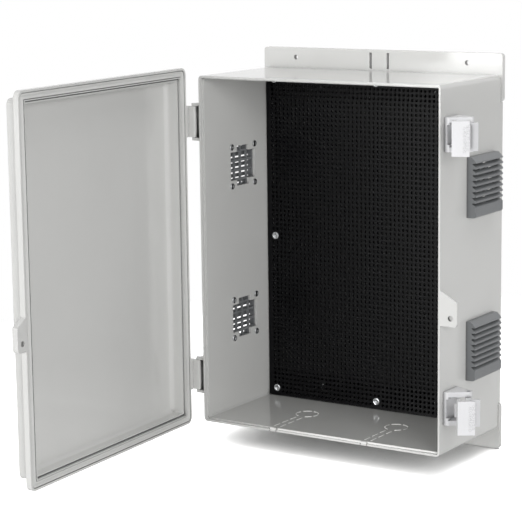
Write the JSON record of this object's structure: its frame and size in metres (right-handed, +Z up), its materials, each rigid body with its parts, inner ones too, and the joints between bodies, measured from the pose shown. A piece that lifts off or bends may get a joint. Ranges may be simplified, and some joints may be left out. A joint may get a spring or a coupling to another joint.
{
  "type": "junction box",
  "caption": "Wall-mounted plastic junction box with a hinged door, hook latches, a perforated mounting plate, louvred vents and wall brackets, drawn with its door open.",
  "frame": {"origin": "centre of the four wall screw holes, on the wall plane", "axes": "+Y into the wall, +Z up, +X to the right as seen from the front; the door opens towards -Y"},
  "size_m": [0.393, 0.479, 0.448],
  "materials": {
    "body_plastic": "smooth light grey",
    "latch_plastic": "smooth white",
    "vent_plastic": "satin mid grey",
    "plate_plastic": "satin black",
    "gasket": "soft pale grey",
    "steel": "zinc plated"
  },
  "bodies": {
    "box": {"box_body": "body_plastic", "upper_wall_bracket": "body_plastic", "lower_wall_bracket": "body_plastic", "upper_bracket_screws": "steel", "lower_bracket_screws": "steel", "upper_plate_screws": "steel", "middle_plate_screws": "steel", "lower_plate_screws": "steel", "upper_hinge_pin": "steel", "lower_hinge_pin": "steel", "upper_latch_screws": "steel", "lower_latch_screws": "steel", "upper_latch_pin": "steel", "lower_latch_pin": "steel", "right_upper_vent_screws": "steel", "right_lower_vent_screws": "steel", "left_upper_vent_screws": "steel", "left_lower_vent_screws": "steel", "upper_latch_base": "latch_plastic", "lower_latch_base": "latch_plastic", "right_upper_vent_cover": "vent_plastic", "right_lower_vent_cover": "vent_plastic", "left_upper_vent_cover": "vent_plastic", "left_lower_vent_cover": "vent_plastic", "right_upper_vent_grille": "vent_plastic", "right_lower_vent_grille": "vent_plastic", "left_upper_vent_grille": "vent_plastic", "left_lower_vent_grille": "vent_plastic", "mounting_plate": "plate_plastic"},
    "door": {"door": "body_plastic", "door_gasket": "gasket"},
    "upper_lever": {"upper_latch_lever": "latch_plastic"},
    "lower_lever": {"lower_latch_lever": "latch_plastic"}
  },
  "joints": [
    {"name": "door_hinge", "type": "hinge", "parent": "box", "child": "door", "pos_m": [-0.1639, -0.141, 0], "axis": [0, 0, 1], "range_deg": [-22, 86.3]},
    {"name": "upper_latch_pivot", "type": "hinge", "parent": "box", "child": "upper_lever", "pos_m": [0.1756, -0.1222, 0.1476], "axis": [0, 0, 1], "range_deg": [-31.3, 45]},
    {"name": "lower_latch_pivot", "type": "hinge", "parent": "box", "child": "lower_lever", "pos_m": [0.1756, -0.1222, -0.1476], "axis": [0, 0, 1], "range_deg": [-40.9, 35]}
  ]
}
